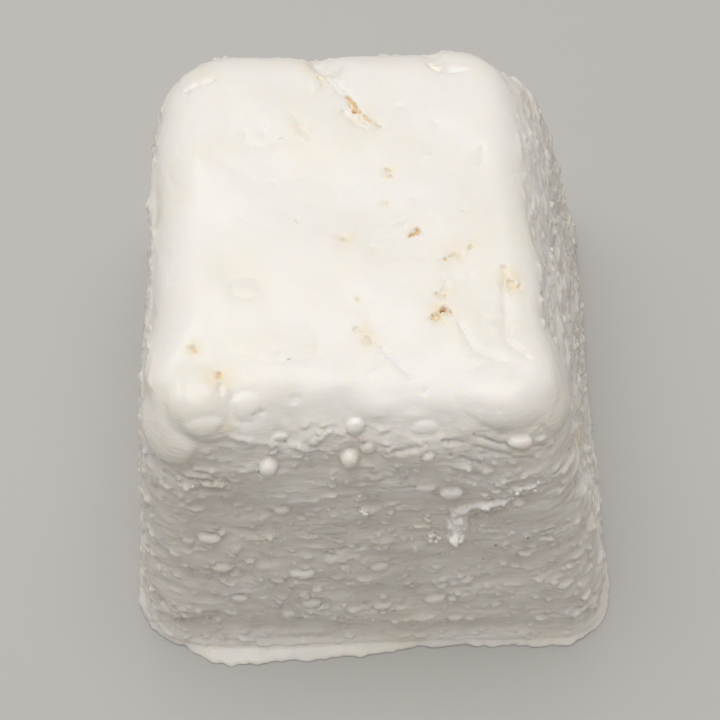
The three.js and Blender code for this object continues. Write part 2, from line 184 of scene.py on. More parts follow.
@dataclass(frozen=True)
class BlockForm:
    """The plain block: walls that lean inwards, round corners and a round rim."""

    base_width: float = 100.0
    base_depth: float = 112.0
    height: float = 76.0
    rim: float = 9.0
    # How far the core lies behind the walls and the top; it is more than any radius
    core_depth: float = 22.0
    lean_left: float = 0.1
    lean_right: float = 0.25
    lean_front: float = 0.2
    lean_back: float = 0.166
    back_skew: float = 0.035
    front_left: tuple[float, float] = (12.0, 12.0)
    front_right: tuple[float, float] = (11.0, 10.0)
    back_left: tuple[float, float] = (12.0, 15.0)
    back_right: tuple[float, float] = (13.0, 12.0)
    # Shoulder above the right wall: where it meets the top, how far that line runs askew, the steepness
    # of its normal in degrees, and how softly it joins the wall
    shoulder_place: float = 26.4
    shoulder_skew: float = -0.075
    shoulder_normal: float = 38.0
    shoulder_blend: float = 4.0
    # The edge above the shoulder is sharper, and takes over along x between these places
    shoulder_edge: float = 3.0
    shoulder_edge_x: tuple[float, float] = (8.0, 24.0)
    # So is the edge over the left front corner, which takes over along x and along y
    corner_edge: float = 4.0
    corner_edge_x: tuple[float, float] = (-24.0, -38.0)
    corner_edge_y: tuple[float, float] = (-20.0, -34.0)

    def walls(self, z: np.ndarray) -> tuple[np.ndarray, np.ndarray, np.ndarray, np.ndarray]:
        """Where the left, right, front and back walls stand at heights z."""
        level = np.clip(z, 0, self.height)
        half_width, half_depth = self.base_width / 2, self.base_depth / 2
        return (
            -half_width + self.lean_left * level,
            half_width - self.lean_right * level,
            -half_depth + self.lean_front * level,
            half_depth - self.lean_back * level,
        )

    def corner_radius(self, points: np.ndarray) -> np.ndarray:
        """Radius of the upright corner that is nearest to each point."""
        x, y, z = points.T
        corners = np.array([self.back_right, self.back_left, self.front_right, self.front_left])
        at_foot, at_top = corners[(x < 0) + 2 * (y < 0)].T
        return at_foot + (at_top - at_foot) * np.clip(z / self.height, 0, 1)

    def shoulder(self, points: np.ndarray) -> np.ndarray:
        """Distance of points from the shoulder above the right wall, less than zero inside."""
        x, y, z = points.T
        turn = math.radians(self.shoulder_normal)
        edge = self.shoulder_place + self.shoulder_skew * y
        return (x - edge) * math.cos(turn) + (z - self.height) * math.sin(turn)

    def distance(self, points: np.ndarray) -> np.ndarray:
        """Distance of points from the surface, less than zero inside.

        Args:
            points: places in mm.

        Returns:
            One distance a point.
        """
        x, y, z = points.T
        left, right, front, back = self.walls(z)
        right_side = rounded_join(x - right, self.shoulder(points), self.shoulder_blend)
        across = np.maximum(left - x, right_side)
        along = np.maximum(front - y, y - back - self.back_skew * x)
        sides = rounded_join(across, along, self.corner_radius(points))
        edge = self.rim + (self.shoulder_edge - self.rim) * smooth_step(x, *self.shoulder_edge_x)
        corner = smooth_step(x, *self.corner_edge_x) * smooth_step(y, *self.corner_edge_y)
        edge += (self.corner_edge - edge) * corner
        return np.maximum(rounded_join(sides, z - self.height, edge), -z)

    def outward(self, points: np.ndarray) -> np.ndarray:
        """The outward normal of the surface near points.

        Args:
            points: places in mm.

        Returns:
            One direction a point.
        """
        slopes = [
            self.distance(points + step) - self.distance(points - step) for step in PROBE * np.eye(3)
        ]
        return unit(np.stack(slopes, axis=1))

    def meet(self, cores: np.ndarray, outer: np.ndarray, steps: int = 12) -> np.ndarray:
        """Where the ways from places in the block to places outside it cross the surface.

        Args:
            cores: places inside in mm.
            outer: places outside or on the surface in mm.
            steps: how often each place is drawn nearer.

        Returns:
            The places on the surface.
        """
        ways = unit(outer - cores)
        places = outer
        for _ in range(steps):
            places = places - ways * self.distance(places)[:, None]
        return places

    def settle(self, points: np.ndarray, steps: int = 5) -> np.ndarray:
        """Draws points onto the nearest place of the surface.

        Args:
            points: places in mm.
            steps: how often they are drawn nearer.

        Returns:
            The places on the surface.
        """
        for _ in range(steps):
            points = points - self.outward(points) * self.distance(points)[:, None]
        return points

    def spot(self, start: tuple[float, float, float], way: tuple[float, float, float]) -> Spot:
        """The place met when going from a start in a direction.

        Args:
            start: where the march starts, in mm.
            way: its direction.

        Returns:
            The spot on the surface.
        """
        place = np.array([start], float)
        for _ in range(60):
            place = place + np.array(way) * self.distance(place)[:, None]
        return self.spot_at(place)

    def spot_at(self, place: np.ndarray) -> Spot:
        """The surface's own directions at a place on it."""
        out = self.outward(place)[0]
        reference = (0.0, 1.0, 0.0) if abs(out[2]) > LEVEL_NORMAL else (0.0, 0.0, 1.0)
        along = unit(np.cross(reference, out))
        return Spot(place[0], along, np.cross(out, along), out)

    @functools.cache
    def locate(self, face: "Face", place: tuple[float, ...]) -> Spot:
        """The spot of a place that is given on a face.

        Args:
            face: the face, which tells what the place's numbers are.
            place: x and z on the front wall, x and y on the top, and x, y and z elsewhere.

        Returns:
            The spot on the surface.
        """
        if face is Face.FRONT:
            return self.spot((place[0], -self.base_depth, place[1]), (0, 1, 0))
        if face is Face.TOP:
            return self.spot((place[0], place[1], 2 * self.height), (0, 0, -1))
        return self.spot_at(self.settle(np.array([place], float)))

    @functools.cache
    def stretch(self, streak: "Streak") -> tuple[Spot, float, float]:
        """How a long mark lies on the surface.

        Args:
            streak: the mark.

        Returns:
            The spot at its middle, its turn there in radians, and its length in mm.
        """
        start = self.locate(streak.face, streak.start)
        end = self.locate(streak.face, streak.end)
        middle = self.spot_at((start.seat + end.seat)[None] / 2)
        way = end.seat - start.seat
        turn = math.atan2(way @ middle.up, way @ middle.along)
        return middle, turn, float(np.linalg.norm(way))


class Face(Enum):
    """The face of the block that a mark is placed on."""

    FRONT = "front"
    TOP = "top"
    ANY = "any"


@dataclass(frozen=True)
class Knob:
    """A curd knob that a hole of the mould left: its place, its sizes in mm and its turn in radians."""

    face: Face
    place: tuple[float, ...]
    width: float
    height: float
    rise: float
    turn: float = 0.0


@dataclass(frozen=True)
class Streak:
    """A long mark from one place of a face to another: a ridge, or a crease if its rise is below zero."""

    face: Face
    start: tuple[float, ...]
    end: tuple[float, ...]
    width: float
    rise: float = 0.0


def marks(kind: type, face: Face, *rows: tuple) -> tuple:
    """Marks of one kind on one face, from rows of their other values."""
    return tuple(kind(face, *row) for row in rows)


KNOBS = marks(
    Knob,
    Face.FRONT,
    ((-20.9, 63.2), 3.4, 3.6, 1.8),
    ((-6.3, 64.3), 3.5, 3.7, 1.9),
    ((-3.1, 66.6), 2.6, 2.6, 0.7),
    ((7.8, 65.8), 2.8, 2.1, 1.1, 0.6),
    ((24.0, 69.0), 4.4, 2.5, 1.4, -0.2),
    ((12.6, 55.0), 4.4, 3.1, 1.5, 0.25),
    ((7.8, 56.1), 4.2, 2.2, 0.7),
    ((-18.8, 49.0), 3.2, 2.2, 0.9),
    ((-32.6, 40.6), 4.6, 2.4, 1.3),
    ((-30.7, 30.6), 4.2, 2.8, 1.3),
    ((-15.2, 28.7), 5.2, 2.6, 1.3),
    ((0.0, 29.7), 3.8, 2.4, 0.8, 0.2),
    ((-13.5, 17.5), 4.2, 3.0, 1.1),
    ((-27.8, 19.6), 3.6, 2.3, 1.0),
    ((28.5, 33.5), 3.0, 1.8, 0.9),
    ((17.4, 24.3), 3.4, 2.0, 1.2, 0.25),
    ((12.8, 22.4), 2.6, 2.0, 1.1, 0.3),
    ((11.7, 17.4), 4.4, 2.6, 1.2, 0.35),
    ((15.2, 17.2), 2.4, 1.8, 0.9, 0.3),
    ((16.4, 10.0), 3.6, 2.4, 0.9, 0.4),
    ((1.0, 15.2), 3.8, 2.0, 0.8, 0.2),
    ((25.5, 51.4), 2.8, 2.1, 0.9, -0.2),
) + marks(
    Knob,
    Face.ANY,
    ((-24.7, -38.3, 73.7), 5.2, 5.0, 0.5),
    ((-5.3, -41.0, 70.8), 3.1, 3.2, 0.8),
    ((-18.6, -41.9, 69.3), 2.6, 1.4, 0.25),
    ((-31.4, -40.7, 71.4), 7.6, 4.4, 0.3, -0.1),
    ((26.3, -39.0, 67.6), 2.4, 1.3, 0.7, -0.2),
    ((7.0, -41.0, 70.6), 5.0, 2.6, 0.3, 0.1),
    ((41.2, -28.3, 35.1), 2.6, 3.0, 1.0),
    ((40.2, -33.7, 39.2), 2.6, 2.6, 0.9),
)

RIM_STREAKS = marks(
    Streak,
    Face.ANY,
    ((-23.9, -39.7, 72.4), (-21.4, -38.6, 73.4), 0.9, -0.3),
    ((-17.8, -37.3, 74.4), (-14.2, -36.8, 74.6), 2.6, -0.25),
    ((-13.9, -42.5, 67.6), (-9.1, -41.3, 70.4), 1.6, 0.5),
    ((-9.3, -41.3, 70.4), (-6.9, -41.8, 69.4), 1.3, 0.4),
    ((15.4, -41.1, 70.2), (27.7, -39.2, 65.4), 0.9, -0.5),
    ((14.4, -42.0, 68.8), (26.4, -41.0, 63.9), 0.7, -0.35),
    ((9.9, -42.2, 68.6), (14.7, -41.9, 69.0), 0.9, -0.45),
    ((19.4, -39.9, 70.8), (22.0, -39.6, 70.2), 0.9, -0.4),
    ((-28.3, -41.3, 69.9), (-18.2, -42.4, 67.7), 1.2, 0.35),
    ((33.9, -42.5, 46.0), (38.9, -39.6, 42.0), 2.6, 0.4),
    ((35.2, -33.6, 58.0), (33.4, -35.4, 64.0), 2.2, -0.4),
)

FRONT_STREAKS = marks(
    Streak,
    Face.FRONT,
    ((-18.6, 25.4), (-15.4, 29.4), 1.1, -0.3),
    ((-11.6, 34.0), (-5.7, 36.8), 2.8, -0.8),
    ((-5.9, 36.4), (0.4, 38.6), 2.2, -0.6),
    ((-11.4, 31.6), (-3.0, 34.6), 2.4, 0.6),
    ((-33.3, 19.6), (-20.2, 24.3), 1.2, 0.35),
    ((11.3, 66.1), (17.8, 63.7), 1.1, -0.5),
    ((13.8, 59.2), (18.2, 61.4), 3.2, -0.7),
    ((-1.1, 55.9), (6.3, 56.4), 1.0, -0.4),
    ((0.8, 66.4), (8.0, 68.4), 1.1, -0.5),
    ((-36.6, 62.6), (-28.6, 63.0), 4.6, -0.5),
    ((-37.8, 58.0), (-28.4, 58.4), 3.0, 0.7),
    ((-34.6, 56.0), (-27.4, 55.8), 1.2, -0.7),
    ((-36.6, 60.6), (-31.8, 60.2), 1.3, 0.8),
    ((-33.4, 58.8), (-28.0, 57.8), 1.2, 0.8),
    ((-37.4, 57.8), (-34.2, 57.2), 1.1, 0.7),
    ((-45.4, 9.8), (-34.6, 15.6), 4.4, 0.9),
    ((-43.0, 6.2), (-32.6, 11.4), 2.2, -0.7),
    ((-5.4, 49.5), (-1.2, 49.3), 1.4, 0.4),
    ((-1.3, 14.4), (4.3, 13.3), 1.2, -0.5),
    ((-20.3, 4.4), (-10.2, 5.6), 1.6, 0.5),
    ((10.0, 43.0), (8.6, 38.4), 2.4, 0.5),
)

TOP_OPENINGS = marks(
    Streak,
    Face.TOP,
    ((-11.6, 34.6), (-9.8, 31.4), 0.9, -0.9),
    ((-6.1, 29.8), (-3.0, 24.8), 1.3, -1.8),
    ((-4.4, 26.6), (-3.4, 25.2), 1.2, -2.6),
    ((-2.8, 25.0), (1.0, 21.4), 0.8, -1.2),
    ((1.5, 12.2), (1.8, 10.6), 1.1, -0.9),
    ((1.8, 10.4), (2.6, 9.4), 0.9, -1.3),
    ((0.9, 3.9), (1.8, 3.7), 1.0, -1.0),
    ((-7.2, -3.9), (-6.0, -4.8), 1.0, -1.2),
    ((5.0, -4.3), (7.4, -3.1), 0.9, -1.6),
    ((6.5, -3.5), (7.9, -2.5), 1.7, -2.0),
    ((3.9, -0.2), (4.3, -1.6), 0.6, -0.6),
    ((11.4, -9.3), (12.4, -8.8), 0.9, -1.3),
    ((12.4, -8.7), (13.9, -7.7), 0.7, -0.9),
    ((16.0, -6.3), (17.3, -6.6), 0.9, -0.9),
    ((15.6, 1.4), (15.8, 1.2), 0.6, -0.6),
    ((22.0, -10.6), (23.0, -11.2), 1.0, -1.0),
    ((22.8, -13.4), (24.4, -15.6), 1.2, -0.8),
    ((24.6, -15.4), (26.2, -14.6), 1.1, -0.9),
    ((8.3, -21.8), (11.0, -20.2), 1.3, -1.2),
    ((10.2, -20.4), (11.8, -19.2), 1.7, -2.9),
    ((11.9, -19.6), (12.9, -20.3), 1.0, -1.4),
    ((9.5, -16.3), (11.8, -16.9), 0.9, -0.7),
    ((-4.6, -17.4), (-4.3, -17.5), 0.8, -0.7),
    ((-5.7, -23.5), (-4.2, -24.0), 1.1, -0.6),
    ((-3.4, -24.9), (-2.1, -26.7), 0.9, -0.8),
    ((-0.3, -26.9), (-0.1, -27.2), 0.6, -0.7),
    ((-34.7, -26.6), (-33.5, -28.4), 0.9, -1.1),
    ((-29.7, -32.0), (-29.4, -34.0), 1.0, -1.3),
)

TOP_CREASES = marks(
    Streak,
    Face.TOP,
    ((-10.2, 34.6), (-6.0, 29.4), 1.6, -0.5),
    ((-6.9, 26.6), (-1.4, 20.4), 2.4, -0.4),
    ((-15.8, 24.9), (-15.2, 21.8), 1.0, -0.35),
    ((-15.2, 21.8), (-13.4, 18.8), 0.8, -0.3),
    ((-29.4, -34.0), (-29.0, -37.0), 2.2, -0.25),
    ((12.1, -13.8), (10.6, -16.2), 0.7, -0.2),
    ((10.6, -16.2), (7.6, -18.0), 0.6, -0.15),
    ((22.6, -11.6), (22.2, -18.0), 0.7, -0.25),
    ((22.4, -18.0), (22.0, -26.0), 0.8, -0.3),
    ((22.0, -26.0), (26.4, -30.8), 0.8, -0.35),
    ((13.4, -22.0), (16.4, -28.4), 0.7, -0.25),
    ((16.4, -28.4), (21.6, -31.0), 0.8, -0.3),
    ((-0.6, -27.6), (5.6, -34.0), 0.8, -0.25),
    ((1.6, -28.0), (-3.4, -33.0), 0.6, -0.2),
    ((-37.8, 31.0), (-31.0, 33.2), 1.3, -0.5),
    ((9.9, 38.8), (14.2, 35.2), 2.4, -0.8),
    ((14.0, 35.2), (19.0, 35.6), 1.6, -0.4),
    ((8.4, 14.0), (10.6, 15.0), 0.7, 0.22),
    ((20.4, 17.0), (19.2, 11.4), 0.7, -0.2),
)


# Parts of the scraped scar on the front wall: the trench, its upper end, the smeared edge above it, the
# edge's tail, the crest above the upper end and the clump below the edge
SCAR_PARTS = marks(
    Streak,
    Face.FRONT,
    ((15.6, 45.4), (24.4, 49.4), 4.6),
    ((22.0, 52.0), (28.6, 54.0), 3.0),
    ((12.4, 48.0), (17.0, 50.2), 2.6),
    ((13.4, 49.0), (25.0, 53.6), 1.5),
    ((22.4, 55.8), (28.2, 57.6), 1.1),
    ((14.9, 48.8), (13.9, 41.0), 4.6),
)


@dataclass(frozen=True)
class Lobe:
    """A rounded lobe of curd on the rim: its middle, its reach along x, y and z, and its rise.

    The crease runs under it, and the swell is how much further its lower end stands out.
    """

    middle: tuple[float, float, float]
    reach: tuple[float, float, float]
    rise: float
    crease: float
    swell: float


RIM_LOBES = (
    Lobe((-38.6, -39.4, 68.8), (5.6, 7.6, 6.2), 1.4, 0.2, 1.0),
    Lobe((-33.0, -36.8, 74.0), (5.6, 6.4, 5.6), 0.55, 0.2, 0.5),
    Lobe((29.4, -31.5, 71.6), (7.4, 9.0, 8.6), 1.0, 0.2, 0.3),
    Lobe((22.6, -37.0, 75.0), (9.5, 6.0, 5.0), 0.4, 0.1, 0.0),
)


@dataclass(frozen=True)
class Notch:
    """A gap in the rim between the top and the back wall."""

    place: tuple[float, float, float]
    width: float
    depth: float


BACK_NOTCHES = (
    Notch((-10.6, 39.6, 75.0), 5.4, 2.4),
    Notch((12.0, 40.0, 74.6), 4.0, 1.0),
)


@dataclass(frozen=True)
class Bump:
    """One kind of curd bump on the walls: its length and height in mm, and its rise on calm curd.

    Rough curd and the lower wall each add to the rise.
    """

    length: float
    height: float
    rise: float
    on_rough: float = 0.0
    on_low: float = 0.0

    def strength(self, rough: np.ndarray, low: np.ndarray) -> np.ndarray:
        """The rise where the curd is so rough and the wall so low, each from 0 to 1."""
        return self.rise + self.on_rough * rough + self.on_low * low

    def at(self, noise: Callable[..., np.ndarray], points: np.ndarray) -> np.ndarray:
        """A noise with bumps of this length and height, at points."""
        return noise(points, self.length, self.height)


@dataclass
class Relief:
    """Everything that makes the real surface depart from the plain block.

    A number that is added to the places shifts a pattern's noise, so that it doesn't repeat another's.
    """

    form: BlockForm
    coarse: CurdNoise = field(default_factory=lambda: CurdNoise(11))
    middle: CurdNoise = field(default_factory=lambda: CurdNoise(23))
    fine: CurdNoise = field(default_factory=lambda: CurdNoise(37))

    # Slow unevenness of the whole surface: the length and the rise of each wave, as in the solid
    swell_waves: tuple[tuple[float, float], ...] = ((71, 0.3), (47, 0.25), (33, 0.2), (22, 0.12))
    swell_climb: float = 0.6
    # The thin layers: how high one is, and how far its ledge stands out
    layer_height: float = 3.1
    layer_rise: float = 0.34
    # The bumps of the walls; the slabs show on the side walls alone
    lumps: Bump = Bump(12, 6, 0.65)
    mounds: Bump = Bump(5.6, 2.8, 0.2, 0.22, 0.15)
    slabs: Bump = Bump(9, 4.6, 1.25)
    folds: Bump = Bump(2.6, 1.1, 0.12, 0.14)
    flecks: Bump = Bump(2.6, 1.1, 0.3, 0.3, 0.2)
    bits: Bump = Bump(1.4, 0.8, 0.16, 0.2)
    # How much more the folds rise on the side walls, and how far the left wall counts as one of them
    side_folds: float = 0.04
    left_share: float = 0.5
    # Low on the right the curd lies in rows that climb towards the corner: how steeply, from which x, and
    # the heights between which the rows set in
    row_climb: float = 0.3
    row_start: float = 4.0
    row_heights: tuple[float, float] = (62, 40)
    # The heights between which the lower wall gets its larger mounds and flecks
    low_wall: tuple[float, float] = (52, 28)
    # The height bands of the front wall's bulge under the rim: where it grows and where it fades
    brow_grows: tuple[float, float] = (12, 62)
    brow_fades: tuple[float, float] = (74.5, 61.5)
    # The eye-shaped fold and the round imprint: place, half width and half height
    eye_place: tuple[float, float] = (-10.6, 42.2)
    eye_reach: tuple[float, float] = (3.7, 1.5)
    imprint_place: tuple[float, float] = (-24.9, -14.9)
    imprint_reach: tuple[float, float] = (2.75, 2.35)
    # Steepness over which the walls' wrinkles fade into the top, as the normal's rise
    wrinkle_fade: tuple[float, float] = (0.22, 0.85)
    # The unevenness starts above the foot over this height
    calm_foot: float = 4.0
    # The front wall's bulge: its rise under the rim, the lower one's share of it, and how uneven both are
    belly_rise: float = 1.9
    low_belly: float = 0.3
    belly_wander: float = 0.35
    # The shallow ring round each knob
    moat_depth: float = 0.12
    # The scar: how deep its trench and the trench's upper end are, how far its edge, the edge's tail, its
    # crest and its clump stand out, and the heights between which the clump grows to its lower end
    trench_depth: float = 1.0
    upper_depth: float = 0.8
    edge_rise: float = 1.3
    tail_rise: float = 1.25
    crest_rise: float = 0.5
    clump_rise: float = 1.5
    wedge_rise: float = 0.8
    wedge_heights: tuple[float, float] = (47.6, 40.8)
    # The gaps in the back rim: how far they run askew, and their half length and half height
    notch_skew: float = 0.35
    notch_reach: tuple[float, float] = (6.5, 8.5)
    # How much of the walls' small relief the knobs and the lobes keep off themselves
    hush: float = 0.88

    def swell(self, points: np.ndarray) -> np.ndarray:
        """Slow waves that run in directions a golden angle apart."""
        total = np.zeros(len(points))
        for i, (length, rise) in enumerate(self.swell_waves):
            turn = i * GOLDEN_ANGLE
            way = points @ np.array([math.cos(turn), math.sin(turn), self.swell_climb])
            total += rise * np.cos(2 * math.pi * way / length + i)
        return total

    def layers(self, points: np.ndarray) -> np.ndarray:
        """Thin pressed layers that overlap like scales: each rises slowly and ends in a small ledge.

        Args:
            points: places on the plain surface in mm.

        Returns:
            The rise of the layers in mm.
        """
        warp = 1.5 * self.coarse.at(points, 15, 8) + 0.7 * self.middle.at(points, 5, 3)
        climb = points[:, 2] / self.layer_height + warp
        share = climb - np.floor(climb)
        ramp = share - smooth_step(share, 0.8, 1.0)
        patch = self.coarse.at(points + 70, 9, 4.5)
        strength = smooth_step(np.abs(patch), 0.25, 0.6) * np.sign(patch)
        return self.layer_rise * strength * (ramp - 0.4)

    def strata(self, points: np.ndarray, sideways: np.ndarray) -> np.ndarray:
        """The pressed walls: soft lumps, mounds, thin broken layers and many short raised flecks.

        Args:
            points: places on the plain surface in mm.
            sideways: how far the surface faces left or right there, from 0 to 1.

        Returns:
            The rise in mm.
        """
        bent = points.copy()
        bent[:, 2] += 1.2 * self.coarse.at(points, 12, 8) + 0.5 * self.middle.at(points, 4, 3)
        climb = self.row_climb * np.clip(points[:, 0] - self.row_start, 0, 30)
        bent[:, 2] -= climb * smooth_step(points[:, 2], *self.row_heights)
        rough = smooth_step(self.coarse.at(points + 50, 14, 9), -0.35, 0.35)
        low = smooth_step(points[:, 2], *self.low_wall)
        flecks = smooth_step(self.flecks.at(self.fine.at, points + 60), 0.3, 0.5)
        bits = smooth_step(self.bits.at(self.fine.at, points + 30), 0.34, 0.56)
        fold_rise = self.folds.strength(rough, low) + self.side_folds * sideways
        return (
            self.lumps.rise * self.lumps.at(self.coarse.at, points)
            + self.mounds.strength(rough, low) * self.mounds.at(self.middle.at, bent + 20)
            + self.layers(points)
            + sideways * (self.slabs.rise * self.slabs.at(self.middle.billow, bent + 11) - 0.35)
            + fold_rise * self.folds.at(self.middle.at, bent)
            + self.flecks.strength(rough, low) * flecks
            + self.bits.strength(rough, low) * bits
        )

    def top_grain(self, points: np.ndarray) -> np.ndarray:
        """The low pillows, faint folds and small dents of the top.

        Args:
            points: places on the plain surface in mm.

        Returns:
            The rise in mm.
        """
        pillows = self.middle.at(points, 8.5)
        ripples = self.fine.at(points, 2.8)
        creased = smooth_step(self.coarse.at(points + 15, 17), 0.0, 0.5)
        folds = np.exp(-((self.middle.at(points + 25, 7.5) / 0.035) ** 2))
        dents = smooth_step(self.fine.at(points + 80, 2.2), 0.55, 0.85)
        return 0.12 * pillows + 0.04 * ripples - 0.12 * creased * folds - 0.14 * dents

    def rim_lumps(self, points: np.ndarray) -> np.ndarray:
        """Lumps along the front rim, strongest where the wall turns into the top.

        Args:
            points: places on the plain surface in mm.

        Returns:
            The rise of the lumps in mm.
        """
        z = points[:, 2]
        front = self.form.walls(z)[2]
        down = (z - (self.form.height - self.form.rim / 2)) / self.form.rim
        ahead = (points[:, 1] - (front + self.form.rim / 3)) / self.form.rim
        near = np.exp(-(down**2) - ahead**2)
        pillows = self.middle.billow(points + 9, 6.5, 4.0)
        return near * (0.5 * self.coarse.at(points, 9, 5) + 0.25 * pillows - 0.1)

    def lobes(self, points: np.ndarray) -> tuple[np.ndarray, np.ndarray]:
        """The rim's rounded lobes, soft above and steep below, with a crease under each.

        Args:
            points: places on the plain surface in mm.

        Returns:
            Their rise in mm, and how smooth they keep the surface, from 0 to 1.
        """
        total = np.zeros(len(points))
        calm = np.zeros(len(points))
        for lobe in RIM_LOBES:
            away = np.linalg.norm((points - np.array(lobe.middle)) / np.array(lobe.reach), axis=1)
            away += 0.1 * self.middle.at(points, 6.0) + 0.03 * self.fine.at(points, 2.2)
            low = smooth_step(lobe.middle[2] - points[:, 2], -3.0, 2.5)
            dome = low * np.sqrt(np.clip(1 - away**3, 0, 1)) + (1 - low) * smooth_step(away, 1.1, 0.2)
            crease = low * np.exp(-(((away - 1.06) * min(lobe.reach) / 0.5) ** 2))
            down = np.clip((lobe.middle[2] - points[:, 2]) / lobe.reach[2], -1, 1)
            dome *= 1 + lobe.swell * down
            total = np.maximum(total, lobe.rise * dome) - lobe.crease * crease
            calm = np.maximum(calm, smooth_step(away, 1.15, 0.85))
        return total, calm

    def belly(self, points: np.ndarray, ahead: np.ndarray) -> np.ndarray:
        """The front wall's slow bulge below the rim, with a weaker one near the foot.

        Args:
            points: places on the plain surface in mm.
            ahead: how far the surface faces the front there, from 0 to 1.

        Returns:
            The rise in mm.
        """
        z = points[:, 2]
        brow = smooth_step(z, *self.brow_grows) * smooth_step(z, *self.brow_fades)
        low = smooth_step(z, self.calm_foot, 20) * smooth_step(z, 52, 24)
        wave = self.belly_rise * (brow + self.low_belly * low)
        return wave * ahead * (1 + self.belly_wander * self.coarse.at(points + 70, 16, 14))

    def knobs(self, points: np.ndarray) -> tuple[np.ndarray, np.ndarray]:
        """The smooth domes of the knobs, each with a shallow moat.

        Args:
            points: places on the plain surface in mm.

        Returns:
            Their rise in mm, and how smooth they keep the surface, from 0 to 1.
        """
        total = np.zeros(len(points))
        calm = np.zeros(len(points))
        for knob in KNOBS:
            spot = self.form.locate(knob.face, knob.place)
            near = spot.within(points, knob.width * 1.5)
            across, climb, _ = spot.local(points[near], knob.turn)
            away = np.hypot(2 * across / knob.width, 2 * climb / knob.height)
            away += 0.1 * self.fine.at(points[near], 1.8) + 0.08 * self.middle.at(points[near], 4.0)
            dome = knob.rise * np.sqrt(np.clip(1 - away**2.2, 0, 1))
            total[near] += dome - self.moat_depth * np.exp(-(((away - 1.2) / 0.25) ** 2))
            calm[near] = np.maximum(calm[near], smooth_step(away, 1.3, 0.8))
        return total, calm

    def streak_share(self, points: np.ndarray, streak: Streak, ragged: float) -> np.ndarray:
        """How deep within a streak each point lies.

        Args:
            points: places near the surface in mm.
            streak: the mark.
            ragged: how far its edge strays, as a share of its width.

        Returns:
            From 0 outside to 1 along the streak's middle.
        """
        spot, turn, length = self.form.stretch(streak)
        total = np.zeros(len(points))
        near = spot.within(points, length / 2 + 2 * streak.width)
        across, climb, _ = spot.local(points[near], turn)
        stray = ragged * streak.width
        climb = climb + stray * self.fine.at(points[near], 1.7)
        climb = climb + 0.6 * stray * self.middle.at(points[near], 0.8)
        taper = 1 - 0.45 * np.clip(np.abs(across) / (length / 2), 0, 1)
        beyond = np.maximum(np.abs(across) - max(length - streak.width, 0) / 2, 0)
        away = np.hypot(beyond, climb) / (streak.width / 2 * taper)
        total[near] = smooth_step(away, 1.15, 0.35)
        return total

    def scar(self, points: np.ndarray) -> tuple[np.ndarray, np.ndarray]:
        """The scraped scar of the front wall: a torn trench under a raised edge.

        Args:
            points: places near the surface in mm.

        Returns:
            Its rise in mm, and how torn the curd is, from 0 to 1.
        """
        shares = [self.streak_share(points, part, 0.2) for part in SCAR_PARTS]
        trench, upper, edge, tail, crest, clump = shares
        torn = np.maximum(trench, upper)
        crumb = self.fine.billow(points, 1.9, 1.5) + 0.4 * self.middle.billow(points, 0.9)
        wedge = self.wedge_rise * smooth_step(points[:, 2], *self.wedge_heights)
        rise = -self.trench_depth * trench - self.upper_depth * upper + 0.3 * torn * crumb
        rise += np.maximum(edge * (self.edge_rise + 0.2 * crumb), self.tail_rise * tail)
        rise += crest * (self.crest_rise + 0.3 * crumb) + clump * (self.clump_rise + wedge + 0.4 * crumb)
        return rise, np.maximum.reduce([edge, tail, crest, clump])

    def eye_wrinkle(self, points: np.ndarray) -> np.ndarray:
        """The long eye-shaped fold in the middle of the front wall."""
        total = np.zeros(len(points))
        spot = self.form.locate(Face.FRONT, self.eye_place)
        near = spot.within(points, 8)
        across, climb, _ = spot.local(points[near])
        away = np.hypot(across / self.eye_reach[0], climb / self.eye_reach[1])
        away += 0.05 * self.middle.at(points[near], 3.0)
        total[near] = 0.25 * np.exp(-(((away - 0.8) / 0.2) ** 2))
        total[near] -= 0.25 * np.exp(-(((away - 1.2) / 0.25) ** 2))
        return total

    def imprint(self, points: np.ndarray) -> np.ndarray:
        """The faint round imprint on the top."""
        total = np.zeros(len(points))
        spot = self.form.locate(Face.TOP, self.imprint_place)
        near = spot.within(points, 5)
        across, climb, _ = spot.local(points[near])
        away = np.hypot(across / self.imprint_reach[0], climb / self.imprint_reach[1])
        total[near] = -0.14 * np.exp(-(((away - 1) / 0.13) ** 2))
        return total

    def notches(self, points: np.ndarray) -> np.ndarray:
        """The gaps in the back rim."""
        total = np.zeros(len(points))
        for notch in BACK_NOTCHES:
            away = points - np.array(notch.place)
            across = away[:, 0] + self.notch_skew * away[:, 1] + self.middle.at(points, 3.0)
            across /= notch.width / 2
            reach = np.hypot(away[:, 1] / self.notch_reach[0], away[:, 2] / self.notch_reach[1])
            total -= notch.depth * np.exp(-(across**2)) * smooth_step(reach, 1.1, 0.2)
        return total

    def openings(self, points: np.ndarray) -> tuple[np.ndarray, np.ndarray]:
        """The curd openings of the top.

        Args:
            points: places near the surface in mm.

        Returns:
            Their rise in mm, and how deep within an opening a point lies, from 0 to 1.
        """
        rise = np.zeros(len(points))
        deep = np.zeros(len(points))
        for opening in TOP_OPENINGS:
            share = self.streak_share(points, opening, 0.6)
            rise = np.minimum(rise, 0.5 * opening.rise * share)
            # The share follows the listed depth, twice what is cut, and the finish turns it into tan and
            # brown, partly painted shade of the pit
            deep = np.maximum(deep, share * min(1.0, -opening.rise / 2.4))
        return rise, deep

    def facing(self, normals: np.ndarray) -> tuple[np.ndarray, np.ndarray]:
        """How far the surface is a wall, and how far it faces right or left, both from 0 to 1."""
        wall = 1 - smooth_step(normals[:, 2], *self.wrinkle_fade)
        return wall, np.maximum(normals[:, 0], -self.left_share * normals[:, 0])

